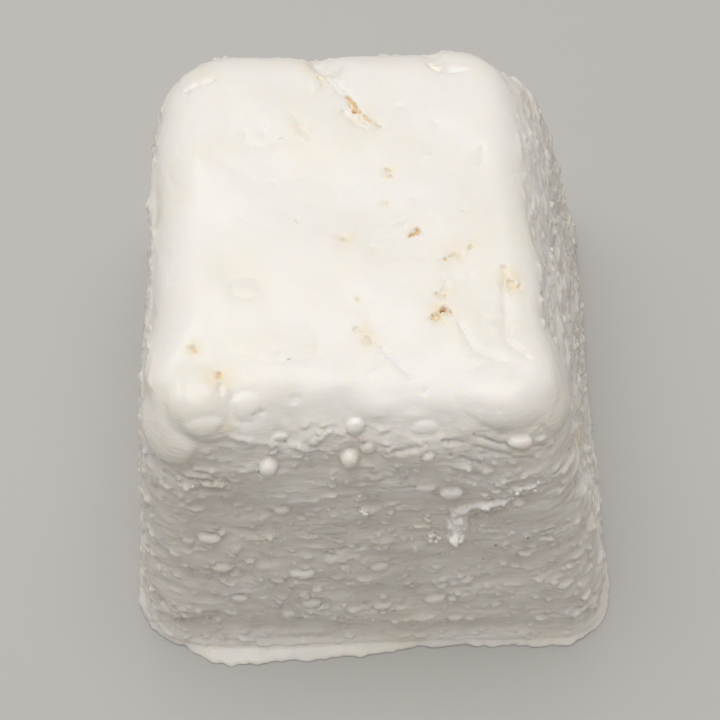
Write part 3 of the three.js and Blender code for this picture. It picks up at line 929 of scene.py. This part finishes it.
    def hollow(self, points: np.ndarray, normals: np.ndarray) -> np.ndarray:
        """How deep the points of the walls lie between the flakes and knobs, where the finish paints
        shade.

        Args:
            points: places on the plain surface in mm.
            normals: its outward normals there.

        Returns:
            From 0 on the knobs and on the top to 1 in the hollows.
        """
        wall, sideways = self.facing(normals)
        knobs, calm = self.knobs(points)
        lobe_calm = self.lobes(points)[1]
        raised = (1 - calm) * self.strata(points, sideways) + 1.4 * knobs + 1.5 * lobe_calm
        height = smooth_step(points[:, 2], 2.5, 6.5) * (1 - 0.6 * smooth_step(points[:, 2], 54, 66))
        return wall * height * smooth_step(raised, 0.9, -0.5)

    def rise(self, points: np.ndarray, normals: np.ndarray) -> np.ndarray:
        """How far the real surface stands out of the plain one.

        Args:
            points: places on the plain surface in mm.
            normals: its outward normals there.

        Returns:
            The rise in mm.
        """
        wall, sideways = self.facing(normals)
        off_foot = smooth_step(points[:, 2], 0.3, self.calm_foot)
        lobes, lobe_calm = self.lobes(points)
        knobs, knob_calm = self.knobs(points)
        loud = 1 - self.hush * np.maximum(lobe_calm, knob_calm)
        total = wall * loud * self.strata(points, sideways) + (1 - wall) * self.top_grain(points)
        total += self.swell(points) + self.belly(points, np.maximum(-normals[:, 1], 0))
        total += loud * self.rim_lumps(points)
        total *= off_foot
        total += lobes + knobs + self.notches(points)
        total += self.eye_wrinkle(points) + self.imprint(points)
        for streak in FRONT_STREAKS + RIM_STREAKS + TOP_CREASES:
            total += streak.rise * self.streak_share(points, streak, 0.3)
        return total + self.scar(points)[0] + self.openings(points)[0]


@dataclass
class Lip:
    """The thin lip that was squeezed out at the foot, widest at the front left."""

    noise: CurdNoise
    # Heights at the wall and at the edge, between which the lip slopes
    thickness: float = 1.5
    edge: float = 0.5
    # The upper step of the lip: its height range and its share of the reach
    step: tuple[float, float] = (1.9, 3.3)
    step_share: float = 0.25
    # The soft hollow in the wall above the lip: its height, its half height and its depth
    hollow: tuple[float, float, float] = (6.6, 2.4, 0.9)
    least: float = 0.15
    # The wide front lip takes over ahead of this line, over this length
    front_start: float = -28.0
    front_blend: float = 14.0
    # Reach of the front lip: place across the wall, reach
    front: tuple[tuple[float, float], ...] = (
        (-46, 0.0),
        (-40, 0.2),
        (-34, 3.9),
        (-30, 4.7),
        (-21, 3.9),
        (-6, 2.9),
        (1, 2.2),
        (9, 0.9),
        (20, 0.8),
        (30, 1.1),
        (38, 1.2),
        (46, 0.3),
    )

    def ahead(self, points: np.ndarray) -> np.ndarray:
        """How far points belong to the front lip, from 0 to 1."""
        return smooth_step(points[:, 1], self.front_start, self.front_start - self.front_blend)

    def reach(self, points: np.ndarray) -> np.ndarray:
        """How far the lip reaches beyond the foot at points of the foot's outline.

        Args:
            points: places on the plain surface in mm.

        Returns:
            One reach a point in mm.
        """
        flat = points * LEVEL
        ragged = 0.55 * self.noise.at(flat, 5.5) + 0.4 * self.noise.at(flat + 40, 1.9)
        places, reaches = zip(*self.front)
        front = np.interp(points[:, 0], places, reaches)
        ahead = self.ahead(points)
        return np.maximum(self.least + ahead * front + ragged * (0.5 + 0.5 * ahead), 0.0)

    def push(self, points: np.ndarray, normals: np.ndarray) -> np.ndarray:
        """How far and which way the lip moves points of the lowest wall.

        Args:
            points: places on the plain surface in mm.
            normals: its outward normals there.

        Returns:
            The level move of each point in mm.
        """
        level = unit(normals * LEVEL)
        flat = points * LEVEL
        uneven = points[:, 2] + 0.45 * self.noise.at(flat + 7, 7.0) + 0.2 * self.noise.at(flat + 9, 2.2)
        lower = smooth_step(uneven, self.thickness, self.edge)
        upper = smooth_step(uneven, self.step[1], self.step[0])
        share = (1 - self.step_share) * lower + self.step_share * upper
        share = np.where(points[:, 2] < 0.2, 0.85 + 0.15 * share, share)
        side = np.abs(normals[:, 2]) < 0.95
        height, half, depth = self.hollow
        hollow = depth * self.ahead(points) * np.exp(-(((points[:, 2] - height) / half) ** 2))
        return level * ((self.reach(points) * share - hollow) * side)[:, None]


@dataclass
class CheeseBody:
    """The whole block as one closed mesh with its relief."""

    form: BlockForm
    relief: Relief
    lip: Lip
    name: str = "feta_curd"
    cell: float = 0.42
    rough_cell: float = 1.1
    # Rows of low cells at the foot, which carry the lip, and the height that they take up
    foot_rows: int = 16
    foot_height: float = 3.6
    most_triangles: int = 194_000

    def cuts(self) -> tuple[int, int, int]:
        """Cells along x, y and z."""
        cell = self.cell
        sizes = (self.form.base_width - 8, self.form.base_depth - 12, self.form.height)
        across, along, up = (round(size / cell) for size in sizes)
        return across, along, up + self.foot_rows

    def make_cells(self) -> bmesh.types.BMesh:
        """A unit cube cut into cells, finer where marks are.

        Returns:
            The cube's mesh, with its middle at the origin.
        """
        cells = bmesh.new()
        bmesh.ops.create_cube(cells, size=1)
        for axis, count in enumerate(self.cuts()):
            edges = [
                edge
                for edge in cells.edges
                if abs(edge.verts[0].co[axis] - edge.verts[1].co[axis]) > 1e-6
            ]
            bmesh.ops.subdivide_edges(cells, edges=edges, cuts=count - 1, use_grid_fill=True)
        self.refine(cells)
        return cells

    def refine(self, cells: bmesh.types.BMesh) -> None:
        """Halves the cells round the openings and the scar.

        Args:
            cells: the unit cube's mesh.
        """
        seats = self.places(np.array([vert.co[:] for vert in cells.verts]))
        fine = np.zeros(len(seats), bool)
        for streak in TOP_OPENINGS + SCAR_PARTS:
            middle, _, length = self.form.stretch(streak)
            fine[middle.within(seats, length / 2 + streak.width)] = True
        cells.verts.ensure_lookup_table()
        edges = [edge for edge in cells.edges if all(fine[vert.index] for vert in edge.verts)]
        bmesh.ops.subdivide_edges(cells, edges=edges, cuts=1, use_grid_fill=True)

    def places(self, cube: np.ndarray) -> np.ndarray:
        """Places on the plain block for points of the unit cube.

        Args:
            cube: points of the cube's surface.

        Returns:
            The places in mm.
        """
        share = cube + 0.5
        low = self.foot_rows / self.cuts()[2]
        z = np.interp(share[:, 2], [0, low, 1], [0, self.foot_height, self.form.height])
        left, right, front, back = self.form.walls(z)
        x = left + (right - left) * share[:, 0]
        y = front + (back - front) * share[:, 1]
        outer = np.stack([x, y, z], axis=1)
        deep = self.form.core_depth
        core_x = np.clip(x, left + deep, right - deep)
        core_y = np.clip(y, front + deep, back - deep)
        core = np.stack([core_x, core_y, np.minimum(z, self.form.height - deep)], axis=1)
        # A place of the underside keeps its share of the way from the core to the foot's edge
        level = np.abs((outer - core)[:, :2]).max(axis=1) / deep
        part = np.where(z < 1e-6, np.maximum(level, 1e-6), 1.0)[:, None]
        edge = self.form.meet(core, core + (outer - core) / part)
        return core + (edge - core) * part

    def shape(self, cube: np.ndarray) -> np.ndarray:
        """The real surface's places for points of the unit cube.

        Args:
            cube: points of the cube's surface.

        Returns:
            The places in mm, in the part's frame.
        """
        seats = self.places(cube)
        normals = self.form.outward(seats)
        under = normals[:, 2] < -LEVEL_NORMAL
        rise = np.where(under, 0, self.relief.rise(seats, normals))
        moved = seats + normals * rise[:, None] + self.lip.push(seats, normals)
        moved[:, 2] = np.where(seats[:, 2] < 1e-3, 0, np.maximum(moved[:, 2], 0))
        return moved + MIDDLE

    def build(self) -> bpy.types.Object:
        """Makes the block's mesh.

        Returns:
            The object, with its place in its mesh, in metres.
        """
        mesh = finished_mesh(self.make_cells(), self.name)
        cube = np.zeros(len(mesh.vertices) * 3, np.float32)
        mesh.vertices.foreach_get("co", cube)
        placed = self.shape(cube.reshape(-1, 3).astype(float)) * MM
        mesh.vertices.foreach_set("co", placed.astype(np.float32).ravel())
        mesh.update()
        piece = show(self.name, mesh)
        thin_out(piece, self.most_triangles)
        self.paint(piece)
        return piece

    def paint(self, piece: bpy.types.Object) -> None:
        """Stores for the finish how open, how torn, how hollow and how stained each point is. The finish
        paints shade into the hollows, and in part into the openings by their depth.

        Args:
            piece: the finished block.
        """
        mesh = piece.data
        points = np.zeros(len(mesh.vertices) * 3, np.float32)
        mesh.vertices.foreach_get("co", points)
        places = points.reshape(-1, 3).astype(float) / MM - MIDDLE
        store(mesh, "opening", self.relief.openings(places)[1])
        torn = self.relief.scar(places)[1]
        store(mesh, "torn", torn)
        seats = self.form.settle(places)
        # Painted shade: the finish greys the curd of the walls by this hollow share
        store(mesh, "hollow", (1 - torn) * self.relief.hollow(seats, self.form.outward(seats)))
        store(mesh, "stain", self.stain(places))

    def stain(self, points: np.ndarray) -> np.ndarray:
        """Pale straw stains round the openings and in the creases of the rim.

        Args:
            points: places near the surface in mm.

        Returns:
            From 0 for clean curd to 1 for the strongest stain.
        """
        total = np.zeros(len(points))
        for place, reach, strength in STAINS:
            away = np.linalg.norm(points - np.array(place), axis=1) / reach
            total = np.maximum(total, strength * smooth_step(away, 1.0, 0.1))
        blotch = 0.6 + 0.6 * self.relief.middle.at(points, 3.2)
        return np.clip(total * blotch, 0, 1)


# Stained places: the place, its reach in mm, and how strong the stain is
STAINS = (
    ((38.4, -32.3, 46.4), 6.5, 1.0),
    ((36.0, -35.5, 48.5), 5.0, 0.6),
    ((-34.0, -27.6, 76.0), 3.0, 0.8),
    ((-29.4, -33.5, 75.5), 4.5, 0.9),
    ((-28.3, -40.5, 71.2), 3.0, 0.9),
    ((-10.8, 37.0, 75.5), 5.5, 0.7),
    ((-34.0, 35.5, 75.0), 6.0, 0.35),
    ((-15.0, 22.0, 76.0), 4.0, 0.35),
    ((-3.4, 24.8, 75.0), 4.0, 0.5),
    ((2.0, 11.0, 76.0), 2.6, 0.7),
    ((1.3, 3.7, 76.0), 2.2, 0.6),
    ((-6.4, -4.2, 76.0), 2.6, 0.6),
    ((6.6, -3.0, 76.0), 3.0, 0.5),
    ((13.0, -8.0, 76.0), 2.8, 0.8),
    ((16.6, -6.3, 76.0), 2.2, 0.6),
    ((23.6, -13.5, 76.0), 4.6, 0.9),
    ((10.4, -20.2, 76.0), 3.4, 1.0),
    ((25.0, -15.0, 76.0), 2.6, 0.9),
    ((12.0, 37.4, 75.0), 4.0, 0.35),
    ((11.2, -16.4, 76.0), 2.4, 0.7),
    ((-4.4, -17.4, 76.0), 1.6, 0.6),
    ((-2.6, -25.4, 76.0), 4.2, 0.7),
)


@dataclass(frozen=True)
class CrumbPile:
    """Loose crumbs on the surface: where they lie, their spread, their number and their sizes in mm."""

    face: Face
    place: tuple[float, ...]
    spread: tuple[float, float]
    count: int
    sizes: tuple[float, float]
    turn: float = 0.0


CURD_PILES = marks(
    CrumbPile,
    Face.FRONT,
    ((14.0, 42.2), (2.6, 2.4), 5, (1.4, 2.2)),
    ((13.8, 43.0), (4.6, 5.6), 9, (0.5, 1.0)),
    ((10.2, 40.4), (2.6, 2.6), 8, (0.5, 1.2)),
    ((25.4, 56.4), (6.4, 2.2), 6, (0.5, 1.1), 0.25),
    ((19.8, 46.2), (1.2, 0.5), 4, (0.5, 0.9), -1.0),
    ((20.6, 48.6), (5.4, 1.4), 7, (0.3, 0.6), 0.4),
    ((-3.4, 49.7), (1.5, 0.7), 7, (0.35, 0.7)),
    ((-33.0, 58.6), (9.0, 4.4), 5, (0.5, 0.9)),
    ((-1.0, 50.0), (40.0, 34.0), 26, (0.3, 0.55)),
) + marks(
    CrumbPile,
    Face.ANY,
    ((35.5, 3.0, 62.0), (2.0, 1.0), 2, (0.7, 1.1)),
)

RUST_PILES = marks(
    CrumbPile,
    Face.FRONT,
    ((22.4, 36.8), (0.3, 0.3), 3, (0.3, 0.5)),
)
DARK_PILES = marks(
    CrumbPile,
    Face.FRONT,
    ((28.2, 40.5), (0.2, 0.1), 2, (0.25, 0.35)),
    ((20.6, 31.2), (0.3, 0.1), 1, (0.2, 0.3)),
)


@dataclass
class Crumbs:
    """Small crumbs that stick to the moist surface, all as one mesh."""

    relief: Relief
    name: str
    piles: tuple[CrumbPile, ...]
    seed: int

    def build(self) -> bpy.types.Object:
        """Makes the crumbs.

        Returns:
            The object with all crumbs.
        """
        draw = np.random.default_rng(self.seed)
        starts, sizes = [], []
        for pile in self.piles:
            spot = self.relief.form.locate(pile.face, pile.place)
            cosine, sine = math.cos(pile.turn), math.sin(pile.turn)
            for _ in range(pile.count):
                across, climb = draw.uniform(-1, 1, 2) * np.array(pile.spread) / 2
                along, up = across * cosine - climb * sine, across * sine + climb * cosine
                starts.append(spot.seat + spot.along * along + spot.up * up)
                sizes.append(draw.uniform(*pile.sizes))
        crumbs = bmesh.new()
        for middle, size in zip(self.middles(np.array(starts), np.array(sizes)), sizes):
            self.add_crumb(crumbs, draw, middle, size)
        mesh = finished_mesh(crumbs, self.name)
        mesh.shade_smooth()
        return show(self.name, mesh)

    def middles(self, starts: np.ndarray, sizes: np.ndarray) -> np.ndarray:
        """Middles of crumbs that rest on the real surface.

        Args:
            starts: places near the surface in mm.
            sizes: the crumbs' widths in mm.

        Returns:
            The middles in mm, in the part's frame.
        """
        seats = self.relief.form.settle(starts)
        outs = self.relief.form.outward(seats)
        rises = self.relief.rise(seats, outs) + 0.3 * sizes
        return seats + outs * rises[:, None] + MIDDLE

    def add_crumb(
        self, crumbs: bmesh.types.BMesh, draw: np.random.Generator, middle: np.ndarray, size: float
    ) -> None:
        """Adds one uneven crumb.

        Args:
            crumbs: the mesh that gets it.
            draw: the seeded draw.
            middle: the crumb's middle in mm.
            size: the crumb's width in mm.
        """
        made = bmesh.ops.create_icosphere(crumbs, subdivisions=3, radius=0.5)["verts"]
        knock = CurdNoise(int(draw.integers(1000)))
        shape = np.array([vert.co[:] for vert in made])
        shape *= (1 + 0.6 * knock.at(shape + 3, 0.6) + 0.2 * knock.at(shape + 5, 0.25))[:, None]
        turn = Matrix.Rotation(draw.uniform(0, math.tau), 3, Vector(draw.normal(size=3)))
        stretch = draw.uniform(0.65, 1.1, 3)
        for vert, place in zip(made, shape):
            vert.co = (turn @ Vector(place * stretch * size) + Vector(middle)) * MM


def finished_mesh(cells: bmesh.types.BMesh, name: str) -> bpy.types.Mesh:
    """A named mesh of what was modelled.

    Args:
        cells: the modelled faces, which are freed.
        name: the mesh's name.

    Returns:
        The mesh.
    """
    mesh = bpy.data.meshes.new(name)
    cells.to_mesh(mesh)
    cells.free()
    return mesh


def show(name: str, data: bpy.types.ID) -> bpy.types.Object:
    """Puts a mesh, a lamp or a camera into the scene.

    Args:
        name: the object's name.
        data: what it shows.

    Returns:
        The object.
    """
    piece = bpy.data.objects.new(name, data)
    bpy.context.scene.collection.objects.link(piece)
    return piece


def store(mesh: bpy.types.Mesh, name: str, values: np.ndarray) -> None:
    """Stores one number for each point of a mesh.

    Args:
        mesh: the mesh.
        name: the attribute's name.
        values: one number a point.
    """
    attribute = mesh.attributes.new(name, "FLOAT", "POINT")
    attribute.data.foreach_set("value", values.astype(np.float32))


def thin_out(piece: bpy.types.Object, most: int) -> None:
    """Thins a mesh out where it is flattest, and shades it smooth.

    Args:
        piece: the object, which gets the thinned mesh.
        most: how many triangles it may keep.
    """
    dense = piece.data
    dense.calc_loop_triangles()
    count = len(dense.loop_triangles)
    if count > most:
        modifier = piece.modifiers.new("thin_out", "DECIMATE")
        modifier.ratio = most / count
        graph = bpy.context.evaluated_depsgraph_get()
        thin = bpy.data.meshes.new_from_object(piece.evaluated_get(graph))
        piece.modifiers.clear()
        piece.data = thin
        bpy.data.meshes.remove(dense)
        thin.name = piece.name
    piece.data.shade_smooth()


def to_linear(colour: str) -> tuple[float, float, float, float]:
    """A colour written as sRGB hex, as linear light.

    Args:
        colour: such as "#F4EFE4".

    Returns:
        Red, green, blue and an alpha of 1.
    """
    parts = [int(colour[i : i + 2], 16) / 255 for i in (1, 3, 5)]
    light = [c / 12.92 if c <= 0.04045 else ((c + 0.055) / 1.055) ** 2.4 for c in parts]
    return (*light, 1.0)


def add_node(
    tree: bpy.types.NodeTree,
    kind: str,
    inputs: dict[str | int, object] | None = None,
    **settings: object,
) -> bpy.types.Node:
    """Adds a node with its settings and links.

    Args:
        tree: the tree that gets the node.
        kind: the node's type.
        inputs: a value, or the output socket to link from, for each input.
        **settings: properties of the node.

    Returns:
        The node.
    """
    node = tree.nodes.new(kind)
    for key, value in settings.items():
        setattr(node, key, value)
    for key, value in (inputs or {}).items():
        if isinstance(value, bpy.types.NodeSocket):
            tree.links.new(value, node.inputs[key])
        else:
            node.inputs[key].default_value = value
    return node


@dataclass(frozen=True)
class FetaFinish:
    """Fresh white brined cheese, moulded and moist: off-white and soft, with a satin film of brine."""

    name: str = "moist_feta_curd"
    curd: str = "#F6F5F1"
    warm_curd: str = "#F4F1E9"
    # Greyer curd painted into the hollows of the walls as shade
    hollow_shade_curd: str = "#E8E5DF"
    stain: str = "#F1E4C6"
    # The openings' tan is partly the curd's own straw colour and partly painted shade of the pits; the
    # brown is painted shade at the bottom of the deepest
    opening: str = "#EBCFA4"
    deep: str = "#A97F4C"
    torn: str = "#FDFCFA"
    roughness: float = 0.5
    wet_roughness: float = 0.36
    # Real sizes in mm of the patterns, from which their scales are worked out
    blotch_size: float = 14.0
    grain_size: float = 0.55
    streak_length: float = 2.2
    streak_height: float = 0.42
    film_size: float = 5.0
    # How shares of the patterns turn into shares of the finish: from low, from high, to low, to high
    blotch_span: tuple[float, ...] = (0.35, 0.7, 0.0, 1.0)
    opening_span: tuple[float, ...] = (0.08, 0.6, 0.0, 1.0)
    pit_shade_span: tuple[float, ...] = (0.7, 1.0, 0.0, 0.9)
    # By the normal's rise: the streaks are strong on the walls and nearly gone on the top
    streak_span: tuple[float, ...] = (0.35, 0.85, 1.0, 0.12)

    def mix(self, tree: bpy.types.NodeTree, share: object, a: object, b: object) -> bpy.types.NodeSocket:
        """The output of a mix of two colours by a share."""
        node = add_node(tree, "ShaderNodeMix", {"Factor": share}, data_type="RGBA")
        for socket, value in (("A", a), ("B", b)):
            target = next(i for i in node.inputs if i.name == socket and i.type == "RGBA")
            if isinstance(value, bpy.types.NodeSocket):
                tree.links.new(value, target)
            else:
                target.default_value = to_linear(value)
        return next(o for o in node.outputs if o.type == "RGBA")

    def pattern(
        self,
        tree: bpy.types.NodeTree,
        place: bpy.types.NodeSocket,
        size: float,
        height: float,
        detail: float,
    ) -> bpy.types.NodeSocket:
        """A noise whose bumps have a real size.

        Args:
            tree: the material's tree.
            place: Object coordinates in metres.
            size: the bumps' size along x and y, in mm.
            height: their size along z, in mm.
            detail: how many finer layers it has.

        Returns:
            The noise's value.
        """
        scale = (1 / (size * MM), 1 / (size * MM), 1 / (height * MM))
        spread = add_node(tree, "ShaderNodeMapping", {"Vector": place, "Scale": scale})
        noise = add_node(
            tree, "ShaderNodeTexNoise", {"Vector": spread.outputs[0], "Scale": 1.0, "Detail": detail}
        )
        return noise.outputs[0]

    def attribute(self, tree: bpy.types.NodeTree, name: str) -> bpy.types.NodeSocket:
        """The value of a stored attribute."""
        return add_node(tree, "ShaderNodeAttribute", attribute_name=name).outputs["Fac"]

    def ramp(
        self, tree: bpy.types.NodeTree, value: bpy.types.NodeSocket, span: tuple[float, ...]
    ) -> bpy.types.NodeSocket:
        """A value mapped smoothly from one span to another: from low, from high, to low, to high."""
        low, high, start, end = span
        node = add_node(
            tree,
            "ShaderNodeMapRange",
            {"Value": value, "From Min": low, "From Max": high, "To Min": start, "To Max": end},
            interpolation_type="SMOOTHSTEP",
        )
        return node.outputs[0]

    def build(self) -> bpy.types.Material:
        """Makes the material.

        Returns:
            The finished material.
        """
        material = bpy.data.materials.new(self.name)
        material.use_nodes = True
        tree = material.node_tree
        tree.nodes.clear()
        place = add_node(tree, "ShaderNodeTexCoord").outputs["Object"]
        blotch = self.pattern(tree, place, self.blotch_size, self.blotch_size, 2.0)
        film = self.pattern(tree, place, self.film_size, self.film_size, 3.0)
        grain = self.pattern(tree, place, self.grain_size, self.grain_size, 3.0)
        streaks = self.pattern(tree, place, self.streak_length, self.streak_height, 3.0)

        colour = self.mix(tree, self.ramp(tree, blotch, self.blotch_span), self.curd, self.warm_curd)
        # Painted shade: the hollows between the flakes and knobs get the greyer curd
        colour = self.mix(tree, self.attribute(tree, "hollow"), colour, self.hollow_shade_curd)
        colour = self.mix(tree, self.attribute(tree, "torn"), colour, self.torn)
        colour = self.mix(tree, self.attribute(tree, "stain"), colour, self.stain)
        # The openings get tan by depth, partly straw colour and partly painted shade, then brown painted
        # shade at the bottom of the deepest
        opening = self.attribute(tree, "opening")
        colour = self.mix(tree, self.ramp(tree, opening, self.opening_span), colour, self.opening)
        colour = self.mix(tree, self.ramp(tree, opening, self.pit_shade_span), colour, self.deep)

        normal = add_node(tree, "ShaderNodeNewGeometry").outputs["Normal"]
        steep = add_node(tree, "ShaderNodeSeparateXYZ", {0: normal})
        wall = self.ramp(tree, steep.outputs[2], self.streak_span)
        lines = add_node(tree, "ShaderNodeMath", {0: streaks, 1: wall}, operation="MULTIPLY").outputs[0]
        rough_skin = add_node(
            tree, "ShaderNodeBump", {"Height": lines, "Strength": 0.55, "Distance": 0.35 * MM}
        )
        skin = add_node(
            tree,
            "ShaderNodeBump",
            {"Height": grain, "Strength": 0.3, "Distance": 0.12 * MM, "Normal": rough_skin.outputs[0]},
        )
        shader = add_node(
            tree,
            "ShaderNodeBsdfPrincipled",
            {
                "Base Color": colour,
                "Roughness": self.ramp(tree, film, (0.3, 0.7, self.wet_roughness, self.roughness)),
                "IOR": 1.42,
                "Normal": skin.outputs[0],
                "Subsurface Weight": 0.55,
                "Subsurface Radius": (1.0, 0.78, 0.5),
                "Subsurface Scale": 0.8 * MM,
                "Coat Weight": 0.3,
                "Coat Roughness": 0.22,
            },
        )
        add_node(tree, "ShaderNodeOutputMaterial", {"Surface": shader.outputs[0]})
        return material


@dataclass(frozen=True)
class PlainFinish:
    """One plain matt colour."""

    name: str
    colour: str
    roughness: float = 0.6
    soft: float = 0.0

    def build(self) -> bpy.types.Material:
        """Makes the material.

        Returns:
            The finished material.
        """
        material = bpy.data.materials.new(self.name)
        material.use_nodes = True
        shader = material.node_tree.nodes["Principled BSDF"]
        shader.inputs["Base Color"].default_value = to_linear(self.colour)
        shader.inputs["Roughness"].default_value = self.roughness
        shader.inputs["Subsurface Weight"].default_value = self.soft
        shader.inputs["Subsurface Radius"].default_value = (1.0, 0.85, 0.65)
        shader.inputs["Subsurface Scale"].default_value = 0.5 * MM
        return material


# Dry white crumbs catch the light; the specks are bits of dried brine and dust
WHITE_CRUMB = PlainFinish("white_curd_crumb", "#FBF9F3", 0.55, 0.3)
RUST_SPECK = PlainFinish("rust_brown_speck", "#C98A5E")
DARK_SPECK = PlainFinish("dark_brown_speck", "#7A6D58")


@dataclass(frozen=True)
class StudioFloor:
    """The plain pale floor: matt painted board."""

    name: str = "studio_floor"
    colour: str = "#C6C6C4"
    # In metres
    half_size: float = 4.0
    # In mm
    drop: float = 0.1

    def build(self) -> bpy.types.Object:
        """Lays the floor just below the foot.

        Returns:
            The floor's object.
        """
        sheet = bmesh.new()
        bmesh.ops.create_grid(sheet, x_segments=1, y_segments=1, size=self.half_size)
        bmesh.ops.translate(sheet, verts=sheet.verts, vec=(0, 0, -self.drop * MM))
        mesh = finished_mesh(sheet, self.name)
        mesh.materials.append(PlainFinish("matt_board", self.colour, 0.9).build())
        floor = show(self.name, mesh)
        return floor


@dataclass(frozen=True)
class StudioLight:
    """Plain soft studio light: a wide box overhead and an even surround."""

    # Power in watts; width, place and aim in metres
    key_power: float = 6.0
    key_size: float = 0.8
    key_place: tuple[float, float, float] = (-0.1, 0.1, 0.95)
    key_aim: tuple[float, float, float] = (0.0, 0.0, 0.04)
    surround: str = "#FBF1E7"
    surround_strength: float = 0.36

    def build(self) -> None:
        """Hangs the lamp and sets the surround."""
        lamp = bpy.data.lights.new("overhead_box", "AREA")
        lamp.shape = "SQUARE"
        lamp.size = self.key_size
        lamp.energy = self.key_power
        box = show("overhead_box", lamp)
        place = Vector(self.key_place)
        box.location = place
        aim = Vector(self.key_aim) - place
        box.rotation_euler = aim.to_track_quat("-Z", "Y").to_euler()
        world = bpy.data.worlds.new("surround")
        world.use_nodes = True
        shade = world.node_tree.nodes["Background"]
        shade.inputs["Color"].default_value = to_linear(self.surround)
        shade.inputs["Strength"].default_value = self.surround_strength
        bpy.context.scene.world = world


@dataclass(frozen=True)
class PhotoCamera:
    """The camera at the photograph's viewing angle; its aim is in mm from the middle of the walls."""

    aim: tuple[float, float, float] = (-3.1, -9.0, 38.0)
    # In degrees
    yaw: float = -3.36
    elevation: float = 60.83
    roll: float = 2.51
    # In mm
    distance: float = 347.4
    lens: float = 85.0
    sensor: float = 36.0

    def build(self) -> bpy.types.Object:
        """Places the camera.

        Returns:
            The camera's object.
        """
        yaw, elevation = math.radians(self.yaw), math.radians(self.elevation)
        level = math.cos(elevation)
        back = Vector((math.sin(yaw) * level, -math.cos(yaw) * level, math.sin(elevation)))
        right = (-back).cross(Vector((0, 0, 1))).normalized()
        up = back.cross(right)
        turn = Matrix((right, up, back)).transposed() @ Matrix.Rotation(math.radians(self.roll), 3, "Z")
        data = bpy.data.cameras.new("photo_camera")
        data.lens = self.lens
        data.sensor_width = self.sensor
        data.clip_start = 0.01
        camera = show("photo_camera", data)
        aim = Vector(self.aim) + Vector(MIDDLE)
        camera.matrix_world = Matrix.Translation((aim + back * self.distance) * MM) @ turn.to_4x4()
        bpy.context.scene.camera = camera
        return camera


def main() -> None:
    """Builds the camera, the stage and the block, and reports each piece."""
    logging.basicConfig(level=logging.INFO, format="%(name)s: %(message)s")
    scene = bpy.context.scene
    scene.view_settings.view_transform = "Standard"
    PhotoCamera().build()
    StudioLight().build()
    StudioFloor().build()

    form = BlockForm()
    relief = Relief(form)
    block = CheeseBody(form, relief, Lip(relief.coarse)).build()
    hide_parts(NODE)
    crumbs = Crumbs(relief, "curd_crumbs", CURD_PILES, 5).build()
    rust = Crumbs(relief, "rust_specks", RUST_PILES, 6).build()
    dark = Crumbs(relief, "dark_specks", DARK_PILES, 7).build()
    finishes = (FetaFinish(), WHITE_CRUMB, RUST_SPECK, DARK_SPECK)
    for piece, finish in zip((block, crumbs, rust, dark), finishes):
        piece.data.materials.append(finish.build())
        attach(piece, BODY)
        LOG.info("%s has %d faces", piece.name, len(piece.data.polygons))


if __name__ == "__main__":
    main()
